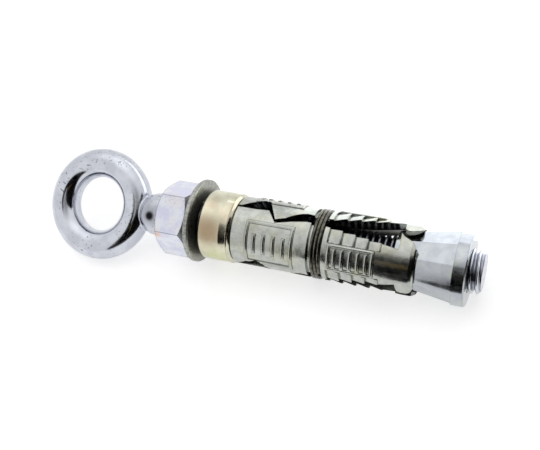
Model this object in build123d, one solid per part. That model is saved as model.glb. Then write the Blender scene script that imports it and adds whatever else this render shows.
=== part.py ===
from build123d import *

import os
from math import asin, cos, degrees, radians, sin, sqrt, tan

# Anchor bolt with a forged eye, for a 20 mm hole. It is modelled along X, with the eye towards -X
# and the ring of the eye in the XZ plane, and is laid down at the end. Every x is measured from the
# ferrule's end at the washer. Clock angles turn about X: 0 faces -Y and 90 faces +Z.

# Eye, neck and stud, forged in one piece (12 mm thread, drawn here as a plain cylinder)
stud_r = 5.9
stud_end = 78.2
stud_chamfer = 0.9
thread_gap = 0.06
ring_r = 12.45           # centre line of the ring
bar_r = 4.4              # half the ring's section, in its own plane
bar_side = 4.5           # half the ring's thickness
ring_x = -37.0
neck_r = 6.3
neck_x = -17.0           # where the neck begins to round off towards the ring
neck_round = 6.0         # length of the rounded end, most of it inside the ring
neck_gap = 0.3

# Hex nut and washer, both loose: the washer stands on its rim and carries the stud
nut_flats = 19.0
nut_height = 9.6
nut_clock = 6.0
nut_face_break = 0.6
chamfer_angle = 30.0
nut_gap = 1.0
washer_r = 12.0
washer_clear = 0.9
washer_lift = 0.85
washer_thick = 1.6
washer_gap = 1.6
edge_break = 0.3

# Shield, split into equal segments that tilt outwards about their roots
segment_count = 3
shield_clock = -17.0     # middle of the first segment
shield_r = 9.6
shield_clear = 0.45
shield_end = 61.5
root_start = 5.5
root_gap = 0.25
nose_length = 1.3
nose_drop = 0.65

# Ferrule
ferrule_step = 0.4       # stands this much proud of the shield
ferrule_wall = 1.1
ferrule_end = 9.7
flange_thick = 1.6
flange_clear = 0.6
swage_start = 6.6        # the outside slopes in from here to the rim at the lip
swage_end = 8.7
swage_depth = 0.28
lip_thick = 1.5
lip_wall = 1.55
lip_clear = 0.3
lip_round = 0.8

# Wire ring that holds the segments together
wire_r = 0.47
wire_turns = 2.9
wire_pitch = 1.0
wire_start = 32.95
groove_depth = 0.85
groove_margin = 0.15
wire_seat = 0.1

# Expander nut: a cone with three lands, a roof of two flats between them, and a plain band
cone_start = 55.2
band_start = 71.3
band_end = 74.7
cone_rise = 2.52
band_step = 0.22         # stands this much proud of the shield
land_span = 46.0
ridge_share = 0.96       # ridge radius as a share of the cone's
cone_gap = 0.2
band_chamfer = 0.35

# Raised marks on each segment
relief = 0.22
line_width = 1.0
frame_start, frame_end, frame_half = 14.3, 28.4, 36.0
panel_start, panel_end, panel_half = 38.0, 51.0, 20.0
bar_half = 17.0
grip_pitch = 3.65
grip_start = 37.8
grip_rows = 4
grip_inner = 24.0
grip_depth = 0.5
grip_nose = 0.35

# Edges of the slot between two segments, as (x, angle from the middle of the slot)
slot_low = [(4.5, 0), (16, 0.5), (19.4, 2.5), (22.2, -19.3), (24.7, -15.5), (26.9, -12), (31, -7.5),
            (36, -9.5), (56.8, -27), (57, -18), (56.6, 3.5), (57.7, -3.5), (59.3, -8), (60.4, -12),
            (61.3, -20), (63, -20)]
slot_high = [(4.5, 4), (11, 4), (11.8, 7), (13, 12.5), (14.4, 18.6), (15.9, 23), (17.4, 28),
             (18.6, 25.3), (20.3, 5.2), (22, -13.3), (23.3, -10.5), (24.7, -8), (25.8, -3.3),
             (27.3, 2.3), (28.7, 6.7), (30.3, 9.4), (34, 8), (37.1, 6), (42, 12.6), (48, 20.5),
             (53.7, 26.7), (56.7, 32), (57.2, 13.5), (58.2, 9.6), (59.7, 11.3), (60.8, 15.7),
             (61.5, 24), (63, 24)]

# Sizes that follow from these
washer_bore = stud_r + washer_clear
washer_left = -washer_gap - washer_thick
nut_right = washer_left - nut_gap
nut_left = nut_right - nut_height
neck_end = nut_left - neck_gap
flange_bore = stud_r + flange_clear
shield_bore = stud_r + shield_clear
ferrule_r = shield_r + ferrule_step
ferrule_bore = ferrule_r - ferrule_wall
lip_x = ferrule_end - lip_thick
lip_bore = ferrule_r - lip_wall
lip_nose = ferrule_r - lip_round
root_neck_r = lip_bore - lip_clear
band_r = shield_r + band_step
cone_r = band_r - cone_rise
cone_slope = cone_rise / (band_start - cone_start)
grip_outer = 180 / segment_count


def turned(points, arc=360.0):
    """Solid turned about X from a closed profile of (x, radius) points."""
    return revolve(make_face(Polyline(*points, close=True)), Axis.X, arc)


def clocked(shape, angle):
    """Shape turned about X by a clock angle."""
    return Rot(X=-angle) * shape


def sector(x1, x2, r1, r2, middle, span):
    """Block of a ring between two stations and two radii, centred on a clock angle."""
    block = turned([(x1, r1), (x2, r1), (x2, r2), (x1, r2)], span)
    return Rot(X=180 - middle - span / 2) * block


def eye_bolt():
    """Ring, neck with a rounded end that meets the ring in a crease, and stud."""
    bar = Plane.XY * Pos(ring_x + ring_r, 0) * Ellipse(bar_r, bar_side)
    ring = revolve(bar, Axis((ring_x, 0, 0), (0, 1, 0)), 360)
    rounding = EllipticalCenterArc((neck_x, 0), neck_round, neck_r, start_angle=90, arc_size=90)
    sides = Polyline(
        (neck_x - neck_round, 0), (stud_end, 0), (stud_end, stud_r - stud_chamfer),
        (stud_end - stud_chamfer, stud_r), (neck_end, stud_r), (neck_end, neck_r - edge_break),
        (neck_end - edge_break, neck_r), (neck_x, neck_r))
    shank = revolve(make_face(rounding.edges() + sides.edges()), Axis.X, 360)
    return ring + shank


def hex_nut():
    """Hexagon with both ends turned down to a 30 degree cone, and a plain bore."""
    corner_r = nut_flats / sqrt(3)
    face_r = nut_flats / 2 - nut_face_break
    hexagon = Plane.YZ.offset(nut_left) * extrude(RegularPolygon(corner_r, 6), nut_height)
    drop = (corner_r - face_r) * tan(radians(chamfer_angle))
    envelope = turned([
        (nut_left, 0), (nut_left, face_r), (nut_left + drop, corner_r), (nut_right - drop, corner_r),
        (nut_right, face_r), (nut_right, 0)])
    bore = Plane.YZ.offset(nut_left) * extrude(Circle(stud_r + thread_gap), nut_height)
    return clocked(Rot(X=30) * (hexagon & envelope) - bore, nut_clock)


def washer():
    """Flat ring with broken outer edges."""
    return turned([
        (washer_left, washer_bore), (washer_left, washer_r - edge_break),
        (washer_left + edge_break, washer_r), (-washer_gap - edge_break, washer_r),
        (-washer_gap, washer_r - edge_break), (-washer_gap, washer_bore)])


def ferrule():
    """Short tube with an inner flange at the washer, a shallow swage that ends at a rim, and a lip
    turned in over the segment roots."""
    return turned([
        (0, flange_bore), (0, ferrule_r - 2 * edge_break), (edge_break, ferrule_r - edge_break / 2),
        (2 * edge_break, ferrule_r), (swage_start, ferrule_r), (swage_end, ferrule_r - swage_depth),
        (swage_end + edge_break / 2, ferrule_r), (ferrule_end - 2 * edge_break, ferrule_r - edge_break / 2),
        (ferrule_end - edge_break, lip_nose + edge_break), (ferrule_end, lip_nose),
        (ferrule_end, lip_bore), (lip_x, lip_bore), (lip_x, ferrule_bore),
        (flange_thick, ferrule_bore), (flange_thick, flange_bore)])


def groove_edges():
    """Stations where the groove for the wire ring begins and ends."""
    reach = wire_r + groove_margin
    return wire_start - reach, wire_start + wire_turns * wire_pitch + reach


def shield_blank():
    """Shield before it is split: root flange, body with the wire groove, and a flared bore."""
    groove_x1, groove_x2 = groove_edges()
    bore_end = cone_r + cone_gap + (shield_end - cone_start) * cone_slope
    flare_x = shield_end - (bore_end - shield_bore) / cone_slope
    body_x = ferrule_end + root_gap
    return turned([
        (root_start, shield_bore), (root_start, ferrule_bore - root_gap),
        (lip_x - root_gap, ferrule_bore - root_gap), (lip_x - root_gap, root_neck_r),
        (body_x, root_neck_r), (body_x, shield_r - edge_break), (body_x + edge_break, shield_r),
        (groove_x1, shield_r), (groove_x1, shield_r - groove_depth),
        (groove_x2, shield_r - groove_depth), (groove_x2, shield_r),
        (shield_end - nose_length, shield_r), (shield_end - nose_length / 3, shield_r - nose_drop / 2),
        (shield_end, shield_r - nose_drop), (shield_end, bore_end), (flare_x, shield_bore)])


def border(x1, x2, half, middle):
    """Raised rectangular border around a field."""
    low, high = shield_r - relief, shield_r + relief
    width = degrees(line_width / shield_r)
    return [
        sector(x1, x1 + line_width, low, high, middle, 2 * half),
        sector(x2 - line_width, x2, low, high, middle, 2 * half),
        sector(x1, x2, low, high, middle - half, width),
        sector(x1, x2, low, high, middle + half, width)]


def grip_row(middle, side, profile):
    """Ring of one grip row's width, with a profile of (x, radius) points."""
    span = grip_outer - grip_inner
    mid = middle + side * (grip_inner + grip_outer) / 2
    return Rot(X=180 - mid - span / 2) * turned(profile, span)


def grip_beds(middle):
    """Where the two grip rows are sunk into the segment."""
    end = grip_start + grip_rows * grip_pitch
    low, high = shield_r - grip_depth, shield_r + relief
    bed = [(grip_start, low), (end, low), (end, high), (grip_start, high)]
    return [grip_row(middle, side, bed) for side in (-1, 1)]


def marks(middle):
    """Two bordered fields with plain bars, and two rows of grip barbs."""
    low, high = shield_r - relief, shield_r + relief
    found = border(frame_start, frame_end, frame_half, middle)
    found += border(panel_start, panel_end, panel_half, middle)
    for x1, x2, count in ((frame_start, frame_end, 4), (panel_start, panel_end, 5)):
        step = (x2 - x1) / (count + 1)
        for i in range(count):
            x = x1 + step * (i + 1)
            found.append(sector(x - line_width / 2, x + line_width / 2, low, high, middle, 2 * bar_half))
    floor = shield_r - grip_depth
    teeth = [(grip_start, floor - relief)]
    for i in range(grip_rows):
        x = grip_start + (i + 1) * grip_pitch
        teeth += [(x - grip_pitch, floor), (x - grip_nose, high), (x, high - relief / 2)]
    teeth.append((x, floor - relief))
    return found + [grip_row(middle, side, teeth) for side in (-1, 1)]


def slot_cutter(middle):
    """Prism that clears the slot between two segments, straight out from the axis."""
    outline = [(x, shield_r * sin(radians(a))) for x, a in slot_low + slot_high[::-1]]
    plane = Plane((0, 0, 0), x_dir=(1, 0, 0), z_dir=(0, -cos(radians(middle)), sin(radians(middle))))
    return plane * extrude(make_face(Polyline(*outline, close=True)), 2 * shield_r)


def segments():
    """The shield with its raised marks, cut into equal segments in clock order."""
    step = 360 / segment_count
    middles = [shield_clock + step * i for i in range(segment_count)]
    blank = shield_blank()
    for middle in middles:
        blank = blank - grip_beds(middle) + marks(middle)
    for middle in middles:
        blank = blank - slot_cutter(middle + step / 2)
    pieces = blank.solids()
    out = []
    for middle in middles:
        facing = Vector(0, -cos(radians(middle)), sin(radians(middle)))
        out.append(max(pieces, key=lambda s: s.center().dot(facing)))
    return out


def garter_spring():
    """Open coil of round wire in the groove."""
    coil_r = shield_r - groove_depth + wire_seat + wire_r
    path = Helix(wire_pitch, wire_turns * wire_pitch, coil_r)
    section = Plane(origin=path @ 0, z_dir=path % 0) * Circle(wire_r)
    return Pos(wire_start, 0, 0) * Rot(Y=90) * sweep(section, path=path, is_frenet=True)


def cone_section(x, radius):
    """Cross-section of the cone: an arc on each land and two flats that meet in a ridge between."""
    def at(angle, share=1.0):
        return (-share * radius * cos(radians(angle)), share * radius * sin(radians(angle)))
    edges = []
    step = 360 / segment_count
    for i in range(segment_count):
        middle = step * i
        a, b, ridge = middle - land_span / 2, middle + land_span / 2, middle + step / 2
        edges.append(ThreePointArc(at(a), at(middle), at(b)))
        edges.append(Line(at(b), at(ridge, ridge_share)))
        edges.append(Line(at(ridge, ridge_share), at(middle + step - land_span / 2)))
    return Plane.YZ.offset(x) * make_face(edges)


def expander_nut():
    """Threaded cone that is drawn in under the segments."""
    cone = loft([cone_section(cone_start, cone_r), cone_section(band_start, band_r)], ruled=True)
    band = turned([
        (band_start, 0), (band_start, band_r), (band_end - band_chamfer, band_r),
        (band_end, band_r - band_chamfer), (band_end, 0)])
    bore = Plane.YZ.offset(cone_start) * extrude(Circle(stud_r + thread_gap), band_end - cone_start)
    return clocked(cone + band - bore, shield_clock)


def resting_turn():
    """How the bolt lies on the floor: on the washer's rim, the expander's rim and the ring.

    The stud hangs in the washer, the axis falls by the difference in height of the two rims, and
    the ring leans until it touches.
    """
    near_x, far_x = -washer_gap - edge_break, band_end - band_chamfer
    stud_height = washer_r - washer_lift
    fall = asin((stud_height - band_r) / (far_x - near_x))
    ring_height = stud_height + tan(fall) * (near_x - ring_x)
    lean = asin((ring_height - bar_r) / ring_r)
    for _ in range(30):
        reach = sqrt((bar_r * sin(lean)) ** 2 + (bar_side * cos(lean)) ** 2)
        lean = asin((ring_height - reach) / ring_r)
    return Rot(Y=degrees(fall)) * Rot(X=degrees(lean) - 90)


def build():
    """All pieces by name, lying at rest."""
    nodes = {
        "eye_bolt": eye_bolt(),
        "hex_nut": hex_nut(),
        "washer": washer(),
        "ferrule": ferrule(),
        "garter_spring": garter_spring(),
        "expander_nut": expander_nut()}
    for i, piece in enumerate(segments(), 1):
        nodes[f"segment_{i}"] = piece
    turn = resting_turn()
    laid = {name: turn * shape for name, shape in nodes.items()}
    laid["washer"] = Pos(0, 0, washer_lift) * laid["washer"]
    box = Compound(list(laid.values())).bounding_box()
    down = Pos(-box.center().X, -box.center().Y, -box.min.Z)
    return {name: down * shape for name, shape in laid.items()}, down * turn


os.makedirs("parts", exist_ok=True)
pieces, rest = build()
for name, shape in pieces.items():
    export_step(shape, f"parts/{name}.step")
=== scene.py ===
from itertools import product

import bpy
import numpy as np
from mathutils import Matrix


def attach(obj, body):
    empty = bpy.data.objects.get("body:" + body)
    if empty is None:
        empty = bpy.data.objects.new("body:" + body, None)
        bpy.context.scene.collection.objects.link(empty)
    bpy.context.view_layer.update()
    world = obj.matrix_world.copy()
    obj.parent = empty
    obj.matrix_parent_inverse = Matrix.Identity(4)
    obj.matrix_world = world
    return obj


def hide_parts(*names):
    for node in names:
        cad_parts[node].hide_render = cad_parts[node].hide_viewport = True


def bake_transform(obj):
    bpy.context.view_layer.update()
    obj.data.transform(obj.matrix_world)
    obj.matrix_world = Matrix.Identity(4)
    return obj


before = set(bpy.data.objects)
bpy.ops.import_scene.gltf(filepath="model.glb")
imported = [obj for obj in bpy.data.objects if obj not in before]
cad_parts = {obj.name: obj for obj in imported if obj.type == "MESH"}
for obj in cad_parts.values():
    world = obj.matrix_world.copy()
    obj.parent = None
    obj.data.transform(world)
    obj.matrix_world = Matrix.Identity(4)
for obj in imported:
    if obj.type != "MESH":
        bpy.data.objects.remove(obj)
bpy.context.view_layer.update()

MM = 0.001

# The bolt's own axes in the row frame: x along the bolt, and where its origin lies (mm)
TURN = np.array([[0.999847866, -0.014133217, 0.01022239],
                 [0.0, 0.586058085, 0.810269042],
                 [-0.017442623, -0.810145773, 0.585968926]])
SHIFT = np.array([-12.216084, 0.0, 11.119054])

# Sizes of the solids that the new pieces follow (mm)
RING_R, BAR_R, BAR_SIDE, RING_X = 12.45, 4.4, 4.5, -37.0
NECK_R, NECK_END, NECK_X, NECK_ROUND = 6.3, -14.1, -17.0, 6.0
NECK_EDGE, CREASE_SOFT = 0.35, 0.45
STUD_R, STUD_END, STUD_CHAMFER, PITCH, THREAD_DEPTH = 5.9, 78.2, 0.9, 1.75, 1.05
SHADED_THREAD_END = 70.0           # the thread is painted in shade up to here, inside the shield and the expander nut
WIRE_R, WIRE_TURNS, WIRE_PITCH, WIRE_START, COIL_R = 0.47, 2.9, 1.0, 32.95, 9.32
SHIELD_R, SHIELD_CLOCK, LINE = 9.6, -17.0, 1.0
LINE_HALF, LINE_HIGH = 0.45, 0.36
FRAME_X1, FRAME_X2, FRAME_HALF = 14.3, 28.4, 36.0
FRAME_STOP = 19.4           # the border is open from here, where the slot's notch cuts it
PANEL_X1, PANEL_X2, PANEL_HALF, BAR_HALF = 38.0, 51.0, 20.0, 17.0
FRAME_BARS, PANEL_BARS = 4, 5

# Where the soft light comes from, above and behind the bolt (m)
OVERHEAD = (-0.15, 0.25, 0.8)


def to_row(p):
    """Points in the bolt's own axes, in mm, as points in the row frame, in metres."""
    return (p @ TURN.T + SHIFT) * MM


def add_mesh(name, verts, faces, *nodes):
    """A mesh piece, smooth but for its sharpest edges, that may stand for CAD nodes."""
    mesh = bpy.data.meshes.new(name)
    mesh.from_pydata(to_row(verts).tolist(), [], faces)
    mesh.validate()
    mesh.shade_smooth()
    mesh.set_sharp_from_angle(angle=1.0)
    obj = bpy.data.objects.new(name, mesh)
    bpy.context.scene.collection.objects.link(obj)
    if nodes:
        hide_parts(*nodes)
    return obj


def joined(parts):
    """Several (points, faces) pieces as one."""
    verts, faces, start = [], [], 0
    for v, f in parts:
        verts.append(v)
        faces += [[i + start for i in face] for face in f]
        start += len(v)
    return np.concatenate(verts), faces


def tube_faces(rows, cols, loop=False):
    """Quads of a grid whose columns run around a tube. A tube that isn't a loop gets flat ends."""
    i, j = np.meshgrid(np.arange(rows if loop else rows - 1), np.arange(cols), indexing="ij")
    a, b = (i * cols + j).ravel(), (i * cols + (j + 1) % cols).ravel()
    n = rows * cols
    faces = np.stack([a, b, (b + cols) % n, (a + cols) % n], 1).tolist()
    if not loop:
        faces += [list(range(cols))[::-1], list(range(n - cols, n))]
    return faces


def implicit_piece(f, low, high, step):
    """Closed surface where f is 0: one point for each grid cell that the surface crosses, moved
    along the gradient until f is 0 there, and one quad for each grid edge that it crosses."""
    axes = [np.arange(a, b + step, step) for a, b in zip(low, high)]
    inside = f(np.stack(np.meshgrid(*axes, indexing="ij"), -1)) < 0
    n = np.array(inside.shape) - 1
    count = sum(inside[i:i + n[0], j:j + n[1], k:k + n[2]].astype(int)
                for i, j, k in product((0, 1), repeat=3))
    mixed = (count > 0) & (count < 8)
    index = np.full(mixed.shape, -1)
    index[mixed] = np.arange(mixed.sum())
    p = np.array(low) + (np.argwhere(mixed) + 0.5) * step
    nudge = np.eye(3) * 1e-3
    for _ in range(6):
        g = np.stack([(f(p + e) - f(p - e)) / 2e-3 for e in nudge], -1)
        p = p - (f(p) / np.maximum((g * g).sum(-1), 1e-9))[:, None] * g
    faces = []
    for axis in range(3):
        here, there = [slice(None)] * 3, [slice(None)] * 3
        here[axis], there[axis] = slice(0, -1), slice(1, None)
        a, b = inside[tuple(here)], inside[tuple(there)]
        u, w = (axis + 1) % 3, (axis + 2) % 3
        for outward, hits in ((True, np.argwhere(a & ~b)), (False, np.argwhere(~a & b))):
            quad = []
            for du, dw in ((0, 0), (-1, 0), (-1, -1), (0, -1)):
                c = hits.copy()
                c[:, u] += du
                c[:, w] += dw
                quad.append(index[tuple(c.T)])
            faces += np.stack(quad if outward else quad[::-1], 1).tolist()
    return p, faces


def smooth_step(x, a, b):
    """0 below a and 1 above b, with a soft rise between."""
    t = np.clip((x - a) / (b - a), 0, 1)
    return t * t * (3 - 2 * t)


def forged_eye(p):
    """Distance to the forged eye: a ring of oval bar, and a round neck with an elliptical end that
    meets it in a crease. A smooth minimum softens the crease."""
    x, y, z = p[..., 0], p[..., 1], p[..., 2]
    ring = (np.hypot((np.hypot(x - RING_X, z) - RING_R) / BAR_R, y / BAR_SIDE) - 1) * BAR_R
    tip = np.minimum(x - NECK_X, 0) / NECK_ROUND
    side = (np.sqrt(tip * tip + (y * y + z * z) / NECK_R ** 2) - 1) * NECK_R
    end = x - NECK_END
    neck = np.hypot(np.maximum(side + NECK_EDGE, 0), np.maximum(end + NECK_EDGE, 0)) - NECK_EDGE
    neck = neck + np.minimum(np.maximum(side, end) + NECK_EDGE, 0)
    h = np.maximum(CREASE_SOFT - np.abs(ring - neck), 0) / CREASE_SOFT
    return np.minimum(ring, neck) - h * h * CREASE_SOFT * 0.25


def threaded_stud():
    """Right-hand thread from the neck to the tip: the radius is a trapezium wave of the turn that
    each point is at, with rounded flanks, cut to a cone at the tip and closed by a flat end."""
    cols = 96
    x = np.arange(NECK_END, STUD_END, PITCH / 14)
    x[-1] = STUD_END
    X, A = np.meshgrid(x, np.linspace(0, 2 * np.pi, cols, endpoint=False), indexing="ij")
    turn = (X / PITCH - A / (2 * np.pi)) % 1.0
    wave = smooth_step(1.25 - np.abs(turn - 0.5) * 3.2, 0, 1)
    R = np.minimum(STUD_R - THREAD_DEPTH * (1 - wave), STUD_R - STUD_CHAMFER + (STUD_END - X))
    shrink = np.array([[0.7], [0.3]])
    X, A, R = np.vstack([X, X[-1:], X[-1:]]), np.vstack([A, A[:2]]), np.vstack([R, R[-1:] * shrink])
    verts = np.stack([X, R * np.cos(A), R * np.sin(A)], -1).reshape(-1, 3)
    return verts, tube_faces(len(X), cols)


def wire_arcs(middle):
    """The arcs of the wire ring that lie over one segment: round wire along a helix about the bolt's
    axis, cut where one segment meets the next."""
    span, end, rows, cols = 2 * np.pi / 3, WIRE_TURNS * 2 * np.pi, 40, 20
    first = np.radians(-150 - middle) % (2 * np.pi)
    arcs = []
    for turn in range(-1, 3):
        low, high = np.clip([first + turn * 2 * np.pi, first + turn * 2 * np.pi + span], 0, end)
        if high > low:
            a = np.linspace(low, high, rows)[:, None]
            x = WIRE_START + a / (2 * np.pi) * WIRE_PITCH
            out = np.concatenate([np.zeros_like(a), np.sin(a), -np.cos(a)], 1)
            climb = np.full_like(a, WIRE_PITCH / (2 * np.pi * COIL_R))
            along = np.concatenate([climb, np.cos(a), np.sin(a)], 1)
            along /= np.linalg.norm(along, axis=1, keepdims=True)
            side = np.cross(along, out)
            b = np.linspace(0, 2 * np.pi, cols, endpoint=False)[None, :, None]
            centre = out * COIL_R + x * np.array([[1.0, 0, 0]])
            verts = centre[:, None] + WIRE_R * (np.cos(b) * out[:, None] + np.sin(b) * side[:, None])
            arcs.append((verts.reshape(-1, 3), tube_faces(rows, cols)))
    return joined(arcs)


def bead(corners, middle, loop=False):
    """Rounded line on the shield: an ellipse swept along a path of (x, clock angle from the middle)
    corners that are joined by straight runs and slightly rounded, half sunk in the surface. The
    section narrows to the ends of a path that isn't a loop."""
    path = np.array(corners, float) * [1, np.radians(SHIELD_R)]
    if loop:
        path = np.vstack([path, path[:1]])
    way = np.concatenate([[0], np.cumsum(np.hypot(*np.diff(path, axis=0).T))])
    rows, cols = int(way[-1] / 0.25), 12
    s = np.linspace(0, way[-1], rows, endpoint=not loop)
    spread = np.array([-0.3, -0.15, 0, 0.15, 0.3])[:, None]
    at = (s + spread) % way[-1] if loop else np.clip(s + spread, 0, way[-1])
    p = np.stack([np.interp(at, way, path[:, k]).mean(0) for k in (0, 1)], 1)
    run = np.roll(p, -1, 0) - np.roll(p, 1, 0) if loop else np.gradient(p, axis=0)
    run /= np.linalg.norm(run, axis=1, keepdims=True)
    side = np.stack([-run[:, 1], run[:, 0]], 1)
    near = np.full(rows, 1.0) if loop else np.clip(np.minimum(s, way[-1] - s) / 0.6 + 0.1, 0, 1)
    size = np.sqrt(near * (2 - near))[:, None]
    b = np.linspace(0, 2 * np.pi, cols, endpoint=False)[None]
    x = p[:, :1] + side[:, :1] * size * LINE_HALF * np.cos(b)
    a = (p[:, 1:] + side[:, 1:] * size * LINE_HALF * np.cos(b)) / SHIELD_R + np.radians(middle)
    r = SHIELD_R + LINE_HIGH * size * np.sin(b)
    verts = np.stack([x, -r * np.cos(a), r * np.sin(a)], -1).reshape(-1, 3)
    return verts, tube_faces(rows, cols, loop)


def raised_lines(middle):
    """All rounded lines of one segment: an open border, a closed border, and the bars in them."""
    x1, x2 = FRAME_X1 + LINE / 2, FRAME_X2 - LINE / 2
    x3, x4 = PANEL_X1 + LINE / 2, PANEL_X2 - LINE / 2
    beads = [bead([(x1, -FRAME_HALF), (x1, FRAME_HALF), (x2, FRAME_HALF), (x2, -FRAME_HALF),
                   (FRAME_STOP, -FRAME_HALF)], middle),
             bead([(x3, -PANEL_HALF), (x3, PANEL_HALF), (x4, PANEL_HALF), (x4, -PANEL_HALF)], middle, True)]
    for a, b, count in ((FRAME_X1, FRAME_X2, FRAME_BARS), (PANEL_X1, PANEL_X2, PANEL_BARS)):
        for x in np.linspace(a, b, count + 2)[1:-1]:
            beads.append(bead([(x, -BAR_HALF), (x, BAR_HALF)], middle))
    return joined(beads)


def linear(hex_colour):
    """sRGB hex colour as linear RGBA."""
    out = []
    for i in (0, 2, 4):
        c = int(hex_colour[i:i + 2], 16) / 255
        out.append(c / 12.92 if c <= 0.04045 else ((c + 0.055) / 1.055) ** 2.4)
    return (*out, 1.0)


def add_node(tree, kind, settings, output=0):
    """New shader node, and one of its outputs. A setting is a property, or an input given by name or
    number, whose value is a plain value or the output that it is linked to."""
    node = tree.nodes.new(kind)
    for key, value in settings.items():
        if isinstance(key, str) and hasattr(node, key):
            setattr(node, key, value)
        elif isinstance(value, bpy.types.NodeSocket):
            tree.links.new(value, node.inputs[key])
        else:
            node.inputs[key].default_value = value
    return node.outputs[output] if node.outputs else None


def new_material(name):
    """Empty node material."""
    mat = bpy.data.materials.new(name)
    mat.use_nodes = True
    mat.node_tree.nodes.clear()
    return mat


def metal(name, light, dark, roughness, cloud_mm, wave_mm, wave_depth_mm, grain_mm=0.3,
          grain_depth_mm=0.002, tint=None, specks=None, inner=None, spots=(), edges=None):
    """Plated or bare steel. The base colour is clouded between two tones. Over it may lie:
    tint (colour, share) in broad patches; specks (colour, size in mm, share) in patches;
    soft round spots (colour, place and inner and outer radius in mm, share);
    inner (colour, radius in mm where the painted shade is full and where it ends, added roughness),
    painted shade towards the bolt's centre line, in bores, hollows and thread roots; and edges
    (colour, width in mm, share), a line of painted shade along sharp edges and creases.
    A long wave and a fine grain bend the gloss. A real plate's grain and pinholes are about a tenth of
    the sizes given, and are drawn as coarse as they need to show."""
    mat = new_material(name)
    t = mat.node_tree
    own = add_node(t, "ShaderNodeMapping", {
        "Vector": add_node(t, "ShaderNodeTexCoord", {}, "Object"),
        "Location": tuple(-(TURN.T @ SHIFT) * MM), "Rotation": tuple(Matrix(TURN.T.tolist()).to_euler())})
    across = add_node(t, "ShaderNodeVectorMath", {"operation": "MULTIPLY", 0: own, 1: (0.0, 1.0, 1.0)})
    radius = add_node(t, "ShaderNodeVectorMath", {"operation": "LENGTH", 0: across}, "Value")

    # Each layer: how much of it shows, and its colour
    cloud = add_node(t, "ShaderNodeTexNoise", {"Vector": own, "Scale": 1 / (cloud_mm * MM), "Detail": 3.0})
    amount = add_node(t, "ShaderNodeMapRange", {"Value": cloud, "From Min": 0.4, "From Max": 0.6})
    layers = [(amount, light)]
    if tint:
        patch = add_node(t, "ShaderNodeTexNoise", {"Vector": own, "Scale": 1 / (6.0 * MM), "Detail": 2.0})
        layers.append((add_node(t, "ShaderNodeMapRange", {
            "Value": patch, "From Min": 0.5, "From Max": 0.75, "To Max": tint[1]}), tint[0]))
    if specks:
        dots = add_node(t, "ShaderNodeTexNoise", {
            "Vector": own, "Scale": 1 / (specks[1] * MM), "Detail": 2.0})
        patch = add_node(t, "ShaderNodeTexNoise", {"Vector": own, "Scale": 1 / (7.0 * MM), "Detail": 1.0})
        some = add_node(t, "ShaderNodeMapRange", {
            "Value": patch, "From Min": 0.4, "From Max": 0.6, "To Max": specks[2]})
        layers.append((add_node(t, "ShaderNodeMapRange", {
            "Value": dots, "From Min": 0.62, "From Max": 0.7, "To Max": some}), specks[0]))
    for shade, centre, inside, outside, strength in spots:
        gap = add_node(t, "ShaderNodeVectorMath", {
            "operation": "DISTANCE", 0: own, 1: tuple(c * MM for c in centre)}, "Value")
        layers.append((add_node(t, "ShaderNodeMapRange", {
            "interpolation_type": "SMOOTHSTEP", "Value": gap, "From Min": inside * MM,
            "From Max": outside * MM, "To Min": strength, "To Max": 0.0}), shade))
    rough = add_node(t, "ShaderNodeMapRange", {
        "Value": cloud, "From Min": 0.3, "From Max": 0.7,
        "To Min": roughness - 0.03, "To Max": roughness + 0.05})
    # Painted shade towards the bolt's centre line: darker and rougher in bores, hollows and thread roots
    if inner:
        depth = add_node(t, "ShaderNodeMapRange", {
            "Value": radius, "From Min": inner[1] * MM, "From Max": inner[2] * MM,
            "To Min": 1.0, "To Max": 0.0})
        layers.append((depth, inner[0]))
        rough = add_node(t, "ShaderNodeMath", {
            "operation": "MULTIPLY_ADD", 0: depth, 1: inner[3], 2: rough})
    wave = add_node(t, "ShaderNodeTexNoise", {"Vector": own, "Scale": 1 / (wave_mm * MM), "Detail": 1.0})
    swell = {"Height": wave, "Distance": wave_depth_mm * MM}
    # Painted shade along sharp edges and creases, where the rounded normal turns from the flat one
    if edges:
        swell["Normal"] = add_node(t, "ShaderNodeBevel", {"Radius": edges[1] * MM, "samples": 6})
        flat = add_node(t, "ShaderNodeNewGeometry", {}, "True Normal")
        meet = add_node(t, "ShaderNodeVectorMath", {
            "operation": "DOT_PRODUCT", 0: swell["Normal"], 1: flat}, "Value")
        layers.append((add_node(t, "ShaderNodeMapRange", {
            "Value": meet, "From Min": 0.99, "From Max": 0.94, "To Max": edges[2]}), edges[0]))
    colour = linear(dark)
    for amount, shade in layers:
        colour = add_node(t, "ShaderNodeMix", {
            "data_type": "RGBA", 0: amount, 6: colour, 7: linear(shade)}, 2)
    grain = add_node(t, "ShaderNodeTexNoise", {"Vector": own, "Scale": 1 / (grain_mm * MM), "Detail": 3.0})
    fine = add_node(t, "ShaderNodeBump", {
        "Height": grain, "Distance": grain_depth_mm * MM, "Normal": add_node(t, "ShaderNodeBump", swell)})
    gloss = add_node(t, "ShaderNodeBsdfPrincipled", {
        "Metallic": 1.0, "Base Color": colour, "Roughness": rough, "Normal": fine})
    add_node(t, "ShaderNodeOutputMaterial", {"Surface": gloss})
    return mat


# Bright zinc plate on a forging: a soft, near-white gloss that follows the slow waves left by the
# hammer, with fine dark pinholes in patches, and painted shade on the neck's front: a grey patch with a
# near-black spot in it.
bright_zinc = metal("bright_zinc_forging", "cdd0d8", "bfc2cb", 0.14, 5.0, 4.0, 0.03,
                    specks=("2c2e33", 0.6, 0.95),
                    spots=[("85878f", (-17.2, -6.2, 0.0), 1.5, 6.0, 0.6),
                           ("1c1c20", (-17.1, -6.2, -0.6), 0.7, 1.9, 1.0)])
# Zinc on a rolled thread: light crests, and roots darkened with painted shade.
thread_zinc = metal("rolled_thread_zinc", "ccd1d6", "babdc2", 0.2, 2.0, 2.0, 0.005,
                    inner=("9a9ca6", 4.95, 5.5, 0.1))
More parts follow.
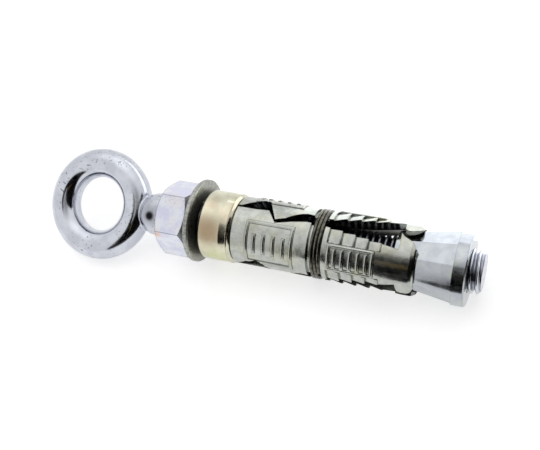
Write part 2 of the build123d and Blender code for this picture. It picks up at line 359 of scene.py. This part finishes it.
# The same thread inside the shield, darker all over and near black in the roots, as painted shade, with a
# dull shine on the crests.
shaded_thread = metal("painted_shade_thread_zinc", "8f9199", "6f7179", 0.28, 1.5, 2.0, 0.005,
                      inner=("17181c", 4.95, 5.8, 0.1))
# The sheared end of the stud: plated over the shear marks, so duller and rougher.
sheared_end = metal("sheared_end_zinc", "dadce6", "c6c8d2", 0.3, 1.5, 0.8, 0.02, 0.25, 0.006)
# Zinc with a thin clear passivate on a machined nut: lavender, with a faint orange bloom at one
# corner, and a dark line of painted shade along the edges.
nut_zinc = metal("lavender_zinc_plate", "dadde5", "cdcee0", 0.16, 3.0, 3.5, 0.02,
                 tint=("d9c0a8", 0.2), specks=("5a5a64", 0.4, 0.4),
                 spots=[("dc9c5c", (-12.4, -8.6, -4.6), 0.3, 2.2, 0.7)], edges=("2c2c34", 0.4, 0.9))
# Dull, thick zinc on a punched washer: a grey and scattered gloss, rougher towards the bore and
# darker there with painted shade, and a line of painted shade along the edges.
dull_zinc = metal("dull_zinc_plate", "b0b1aa", "8d8e88", 0.34, 0.7, 1.5, 0.01, 0.4, 0.002,
                  inner=("6c6d66", 8.0, 11.0, 0.2), edges=("5c5d59", 0.2, 0.6))
# Yellow passivate on a drawn ferrule: pale straw with coppery patches, a brown painted reflection
# across the front with a greenish bloom under it, and painted shade towards the bore and along the edges,
# over slow dents.
yellow_zinc = metal("yellow_passivated_zinc", "d3d1bb", "c3c1ab", 0.15, 4.0, 2.2, 0.035,
                    tint=("c79a80", 0.4), inner=("3b382e", 7.5, 9.4, 0.1), edges=("4c4a3c", 0.2, 0.6),
                    spots=[("9a8062", (3.5, -9.7, -1.5), 1.0, 7.0, 0.8),
                           ("cbd09c", (5.0, -5.0, -8.7), 1.0, 5.0, 0.6)])
# Zinc over a cast or pressed shield: grey with a straw cast, pitted, with near-black painted shade
# on the walls towards the bore and along the edges of the raised lines.
cast_zinc = metal("cast_zinc_plate", "b9bcb6", "aaada7", 0.17, 2.2, 2.0, 0.03, 0.25, 0.003,
                  tint=("a89f72", 0.35), specks=("4a4b45", 0.35, 0.5), inner=("3c3d38", 6.8, 9.0, 0.15),
                  edges=("20211d", 0.2, 0.85))
# Blue-white zinc over fine turning marks on the cone: cool, slightly grainy gloss, with a line of painted
# shade along its edges.
cone_zinc = metal("blue_zinc_plate", "b7bbc0", "abafb5", 0.17, 3.0, 2.5, 0.012, 0.3, 0.005,
                  tint=("bfc59a", 0.25), specks=("5a5d66", 0.3, 0.35), edges=("4a4c55", 0.18, 0.6))
# Drawn spring wire, oiled and left bare: dark grey, with a thin bright line along each turn.
spring_steel = metal("drawn_spring_wire", "6d6b60", "474640", 0.2, 1.0, 1.0, 0.003)

eye_shape = implicit_piece(forged_eye, low=(-55, -8, -18), high=(-12, 8, 18), step=0.32)
eye = add_mesh("forged_eye", *eye_shape, "eye_bolt")
eye.data.materials.append(bright_zinc)
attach(eye, "eye")
stud = add_mesh("threaded_stud", *threaded_stud(), "eye_bolt")
for mat in (thread_zinc, sheared_end, shaded_thread):
    stud.data.materials.append(mat)
face_x = (np.array([f.center[:] for f in stud.data.polygons]) / MM - SHIFT) @ TURN[:, 0]
lean = np.array([f.normal[:] for f in stud.data.polygons]) @ TURN[:, 0]
# The end face takes the sheared end, and the thread inside the shield the darker copy painted in shade
which = np.where(lean > 0.98, 1, np.where(face_x < SHADED_THREAD_END, 2, 0))
stud.data.polygons.foreach_set("material_index", which.astype(np.int32))
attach(stud, "eye")

for i in range(3):
    middle, segment = SHIELD_CLOCK + 120 * i, f"segment_{i + 1}"
    lines = add_mesh(f"raised_lines_{i + 1}", *raised_lines(middle))
    lines.data.materials.append(cast_zinc)
    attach(lines, segment)
    # The wire's arcs over this segment, baked in place; the real wire moves out with the segment, and stays
    # put where it crosses the slots, up to 4.95 mm out
    wire = add_mesh(f"retaining_wire_{i + 1}", *wire_arcs(middle), "garter_spring")
    wire.data.materials.append(spring_steel)
    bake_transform(wire)

for node, mat in (("hex_nut", nut_zinc), ("washer", dull_zinc), ("ferrule", yellow_zinc),
                  ("expander_nut", cone_zinc), ("segment_1", cast_zinc), ("segment_2", cast_zinc),
                  ("segment_3", cast_zinc)):
    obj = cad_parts[node]
    obj.data.materials.clear()
    obj.data.materials.append(mat)


def sheet(name, corners, hex_colour, glow=0.0, fade=0.0):
    """Flat four-cornered sheet that isn't part of the object. It is matt, with an optional glow that
    only the camera and gloss see, or it fades from a glow in the middle to nothing over a radius."""
    mat = new_material(name)
    t = mat.node_tree
    surface = add_node(t, "ShaderNodeBsdfDiffuse", {"Color": linear(hex_colour)})
    if fade:
        away = add_node(t, "ShaderNodeVectorMath", {
            "operation": "DISTANCE", 0: add_node(t, "ShaderNodeTexCoord", {}, "Object"),
            1: tuple(np.mean(corners, 0))}, "Value")
        cover = add_node(t, "ShaderNodeMapRange", {
            "interpolation_type": "SMOOTHSTEP", "Value": away, "From Max": fade,
            "To Min": 0.9, "To Max": 0.0})
        light = add_node(t, "ShaderNodeEmission", {"Color": linear(hex_colour), "Strength": glow})
        surface = add_node(t, "ShaderNodeMixShader", {
            0: cover, 1: add_node(t, "ShaderNodeBsdfTransparent", {}), 2: light})
    elif glow:
        rays = t.nodes.new("ShaderNodeLightPath")
        seen = add_node(t, "ShaderNodeMath", {
            "operation": "MAXIMUM", 0: rays.outputs["Is Camera Ray"], 1: rays.outputs["Is Glossy Ray"]})
        level = add_node(t, "ShaderNodeMath", {"operation": "MULTIPLY", 0: seen, 1: glow})
        light = add_node(t, "ShaderNodeEmission", {"Color": linear("ffffff"), "Strength": level})
        surface = add_node(t, "ShaderNodeAddShader", {0: surface, 1: light})
    add_node(t, "ShaderNodeOutputMaterial", {"Surface": surface})
    mesh = bpy.data.meshes.new(name)
    mesh.from_pydata(corners, [], [(0, 1, 2, 3)])
    mesh.materials.append(mat)
    obj = bpy.data.objects.new(name, mesh)
    bpy.context.scene.collection.objects.link(obj)
    return obj


def facing(place):
    """Axes, as columns, of something at a place that faces the object."""
    z = np.array(place) / np.linalg.norm(place)
    x = np.cross((0.0, 1.0, 0.0), z)
    x /= np.linalg.norm(x)
    return np.stack([x, np.cross(z, x), z], 1)


def square(place, half):
    """Corners of a square that faces the object."""
    x, y, _ = facing(place).T
    return [tuple(np.array(place) + half * (u * x + v * y))
            for u, v in ((-1, -1), (1, -1), (1, 1), (-1, 1))]


sheet("floor", [(-2, -2, 0), (2, -2, 0), (2, 2, 0), (-2, 2, 0)], "d9d9d9", 0.62)

# Cards around the object that show only in its gloss: dark ones in front, which give the black arcs
# and bands; a brown one near it, for the brown in the shield's dark band; a bright one above and a
# pale one behind; and a soft grey one at the camera's side
cards = [
    ("tall_card", [(-0.10, -0.36, 0.002), (0.03, -0.36, 0.002), (0.03, -0.36, 0.7), (-0.10, -0.36, 0.7)],
     "0c0c0c"),
    ("low_card", [(0.03, -0.36, 0.002), (0.47, 0.10, 0.002), (0.47, 0.10, 0.36), (0.03, -0.36, 0.3)],
     "141414"),
    ("floor_card", [(0.035, -0.04, 0.0005), (-0.10, -0.36, 0.0005), (0.03, -0.36, 0.0005),
                    (0.45, -0.05, 0.0005)], "101010"),
    ("warm_card", [(0.011, -0.148, 0.081), (0.020, -0.148, 0.081), (0.016, -0.148, 0.121),
                   (0.007, -0.148, 0.121)], "ac8e42"),
    ("bright_card", square(OVERHEAD, 0.8), "ffffff", 1.5, 0.75),
    ("back_card", [(0.012, 0.016, 0.0005), (0.5, 0.016, 0.0005), (0.5, 0.6, 0.45), (-0.22, 0.6, 0.45)],
     "f4f8ff", 1.35),
    ("grey_card", square((0.18, -0.26, 0.39), 0.4), "ffffff", 0.25, 0.38)]
for card_settings in cards:
    card = sheet(*card_settings)
    for ray in ("camera", "diffuse", "transmission", "volume_scatter", "shadow"):
        setattr(card, "visible_" + ray, False)

lamp = bpy.data.lights.new("top_lamp", "AREA")
lamp.size, lamp.energy = 1.2, 4.0
top_lamp = bpy.data.objects.new("top_lamp", lamp)
bpy.context.scene.collection.objects.link(top_lamp)
top_lamp.visible_glossy = False
rows = [[*row, p] for row, p in zip(facing(OVERHEAD).tolist(), OVERHEAD)]
top_lamp.matrix_world = Matrix(rows + [[0, 0, 0, 1]])

# White where the camera, gloss and clear rays see it, and a lower level of it lights the object
world = bpy.data.worlds.new("studio")
bpy.context.scene.world = world
world.use_nodes = True
wt = world.node_tree
wt.nodes.clear()
rays = wt.nodes.new("ShaderNodeLightPath")
seen = add_node(wt, "ShaderNodeMath", {
    "operation": "MAXIMUM", 0: rays.outputs["Is Camera Ray"], 1: rays.outputs["Is Glossy Ray"]})
seen = add_node(wt, "ShaderNodeMath", {
    "operation": "MAXIMUM", 0: seen, 1: rays.outputs["Is Transmission Ray"]})
soft = add_node(wt, "ShaderNodeBackground", {"Color": linear("ffffff"), "Strength": 0.4})
white = add_node(wt, "ShaderNodeBackground", {"Color": linear("ffffff"), "Strength": 1.0})
mixed = add_node(wt, "ShaderNodeMixShader", {0: seen, 1: soft, 2: white})
add_node(wt, "ShaderNodeOutputWorld", {"Surface": mixed})

# The camera was fitted to the photograph's rims
scene = bpy.context.scene
scene.view_settings.view_transform = "Standard"
lens = bpy.data.cameras.new("camera")
lens.lens, lens.sensor_width, lens.clip_start = 56.667, 36.0, 0.01
camera = bpy.data.objects.new("camera", lens)
scene.collection.objects.link(camera)
right, up = (0.922958, 0.328118, -0.201215), (-0.153931, 0.793803, 0.588372)
back, spot = (0.35278, -0.51207, 0.783154), (0.090461, -0.120975, 0.200532)
camera.matrix_world = Matrix([*zip(right, up, back, spot), (0, 0, 0, 1)])
scene.camera = camera
